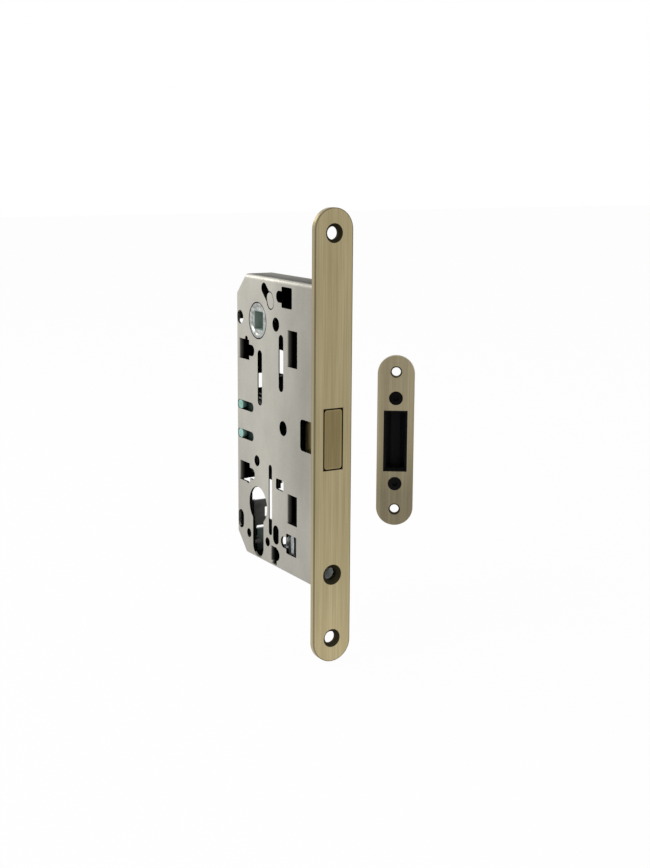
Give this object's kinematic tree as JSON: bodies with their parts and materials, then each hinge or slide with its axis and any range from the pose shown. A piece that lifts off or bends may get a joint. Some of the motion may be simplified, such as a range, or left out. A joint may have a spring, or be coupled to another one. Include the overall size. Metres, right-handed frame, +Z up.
{
  "type": "mortise sashlock",
  "caption": "Mortise sashlock for an inner door with a flush bolt drawn out by a magnet, a spindle follower, a profile cylinder hole, and a matching strike plate.",
  "frame": {"origin": "centre of the faceplate's front face, midway between its two wood screw holes", "axes": "-Y out of the door's edge, +Y into the door, +Z up, -X towards the side plate with the pressed openings"},
  "size_m": [0.0947, 0.0782, 0.196],
  "materials": {
    "bronze_plate": "brushed along the height, aged and clear coated",
    "zinc_sheet": "matte zinc-plated sheet",
    "bright_zinc": "bright zinc plating",
    "dark_steel": "dark oiled steel",
    "green_plastic": "dark green moulded plastic",
    "black_plastic": "black moulded plastic",
    "black_screw": "black finished steel",
    "bolt_bronze": "fine brushed, darker than the plate",
    "magnet": "nickel plated",
    "spring_wire": "drawn wire"
  },
  "bodies": {
    "lock": {"faceplate": "bronze_plate", "case_body": "zinc_sheet", "case_cover": "zinc_sheet", "cover_posts": "dark_steel", "cover_screws": "bright_zinc", "screw_block": "bright_zinc", "cylinder_rest": "dark_steel", "follower_spring": "spring_wire", "lever_stud": "dark_steel", "bolt_spring": "spring_wire", "spring_stop": "dark_steel", "deadlock_pin": "dark_steel", "deadlock_spring": "spring_wire", "bar_guide": "dark_steel", "strike_plate": "bronze_plate", "strike_housing": "black_plastic", "strike_magnet": "magnet", "strike_screws": "black_screw"},
    "bolt": {"latch_bolt": "bolt_bronze", "bolt_magnet": "magnet", "bolt_slide": "black_plastic", "guide_block": "green_plastic"},
    "follower": {"follower": "bright_zinc"},
    "draw_lever": {"draw_lever": "dark_steel"},
    "deadlock_lever": {"deadlock_lever": "black_plastic"},
    "locking_bar": {"locking_bar": "dark_steel"}
  },
  "joints": [
    {"name": "bolt_throw", "type": "slide", "parent": "lock", "child": "bolt", "axis": [0, -1, 0], "range_m": [0, 0.01], "stiffness_N_per_m": 40, "springref_m": -0.02, "deforming": ["bolt_spring"]},
    {"name": "spindle_turn", "type": "hinge", "parent": "lock", "child": "follower", "pos_m": [0, 0.055, 0.046], "axis": [-1, 0, 0], "range_deg": [0, 40], "stiffness_Nm_per_rad": 0.02, "springref_deg": -11.46, "deforming": ["follower_spring"]},
    {"name": "draw_lever_swing", "type": "hinge", "parent": "lock", "child": "draw_lever", "pos_m": [0, 0.054, 0.0184], "axis": [1, 0, 0], "range_deg": [0, 46]},
    {"name": "deadlock_turn", "type": "hinge", "parent": "lock", "child": "deadlock_lever", "pos_m": [0, 0.069, -0.0568], "axis": [-1, 0, 0], "range_deg": [0, 26], "deforming": ["deadlock_spring"]},
    {"name": "locking_bar_lift", "type": "slide", "parent": "lock", "child": "locking_bar", "axis": [0, 0, 1], "range_m": [0, 0.00315], "stiffness_N_per_m": 30, "springref_m": -0.0035}
  ],
  "couplings": [
    {"joint": "draw_lever_swing", "follows": "spindle_turn", "ratio": 1.15},
    {"joint": "deadlock_turn", "follows": "locking_bar_lift", "rad_per_m": 144.06}
  ]
}
